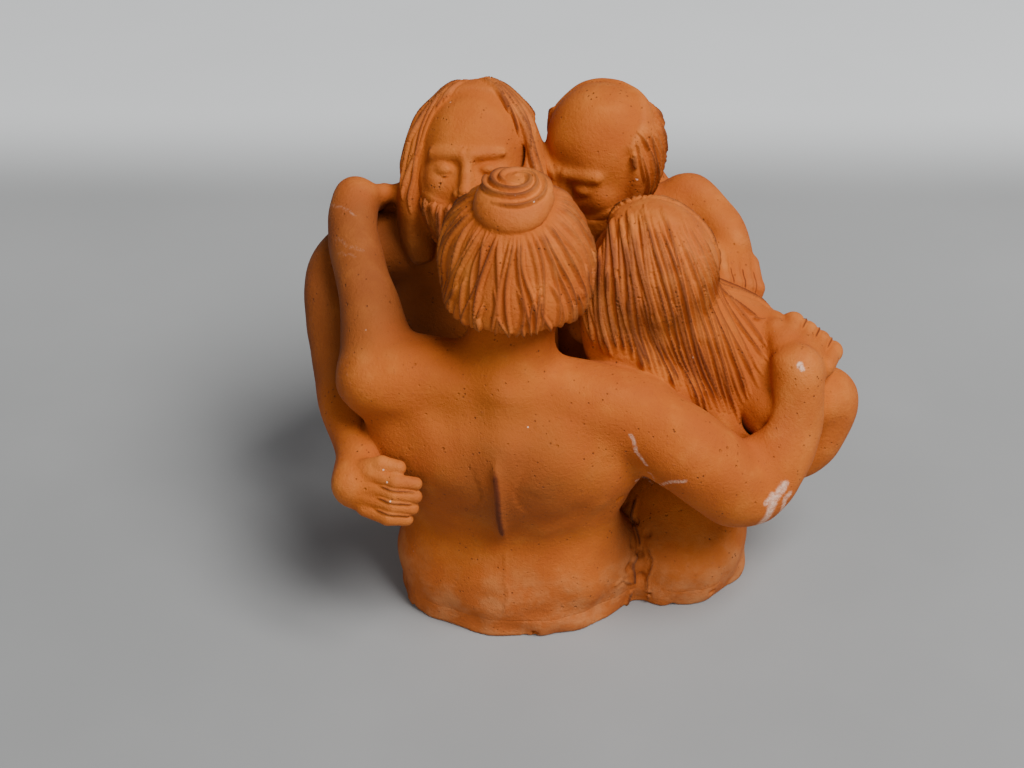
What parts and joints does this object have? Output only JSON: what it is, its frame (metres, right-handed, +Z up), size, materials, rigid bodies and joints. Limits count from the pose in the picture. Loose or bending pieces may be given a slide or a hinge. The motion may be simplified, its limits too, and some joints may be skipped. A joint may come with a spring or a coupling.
{
  "type": "clay figure group",
  "caption": "Hand-built terracotta sculpture: a ring of embracing half-figures with combed hair, standing on one flat pat of clay.",
  "frame": {"origin": "on the underside of the pat of clay, at the axis of the ring of figures", "axes": "+Z up, +X to the front figure's right, -Y out of the front figure's back"},
  "size_m": [0.1838, 0.1408, 0.1574],
  "materials": {
    "terracotta_skin": "matte",
    "terracotta_combed": "matte",
    "terracotta_rubbed": "satin",
    "terracotta_base": "matte"
  },
  "bodies": {
    "root": {"pat": "terracotta_base", "front_torso": "terracotta_skin", "right_torso": "terracotta_skin", "back_torso": "terracotta_skin", "left_torso": "terracotta_skin", "front_head": "terracotta_skin", "right_head": "terracotta_skin", "back_head": "terracotta_skin", "left_head": "terracotta_skin", "front_hair": "terracotta_combed", "right_hair": "terracotta_combed", "back_hair": "terracotta_combed", "left_hair": "terracotta_combed", "front_bun": "terracotta_rubbed", "back_beard": "terracotta_combed", "left_beard": "terracotta_combed", "front_left_arm": "terracotta_skin", "front_left_hand": "terracotta_skin", "front_right_arm": "terracotta_skin", "front_right_hand": "terracotta_skin", "right_left_arm": "terracotta_skin", "right_left_hand": "terracotta_skin", "right_right_arm": "terracotta_skin", "right_right_hand": "terracotta_skin", "back_left_arm": "terracotta_skin", "back_left_hand": "terracotta_skin", "back_right_arm": "terracotta_skin", "back_right_hand": "terracotta_skin", "left_left_arm": "terracotta_skin", "left_left_hand": "terracotta_skin", "left_right_arm": "terracotta_skin", "left_right_hand": "terracotta_skin"}
  },
  "joints": []
}
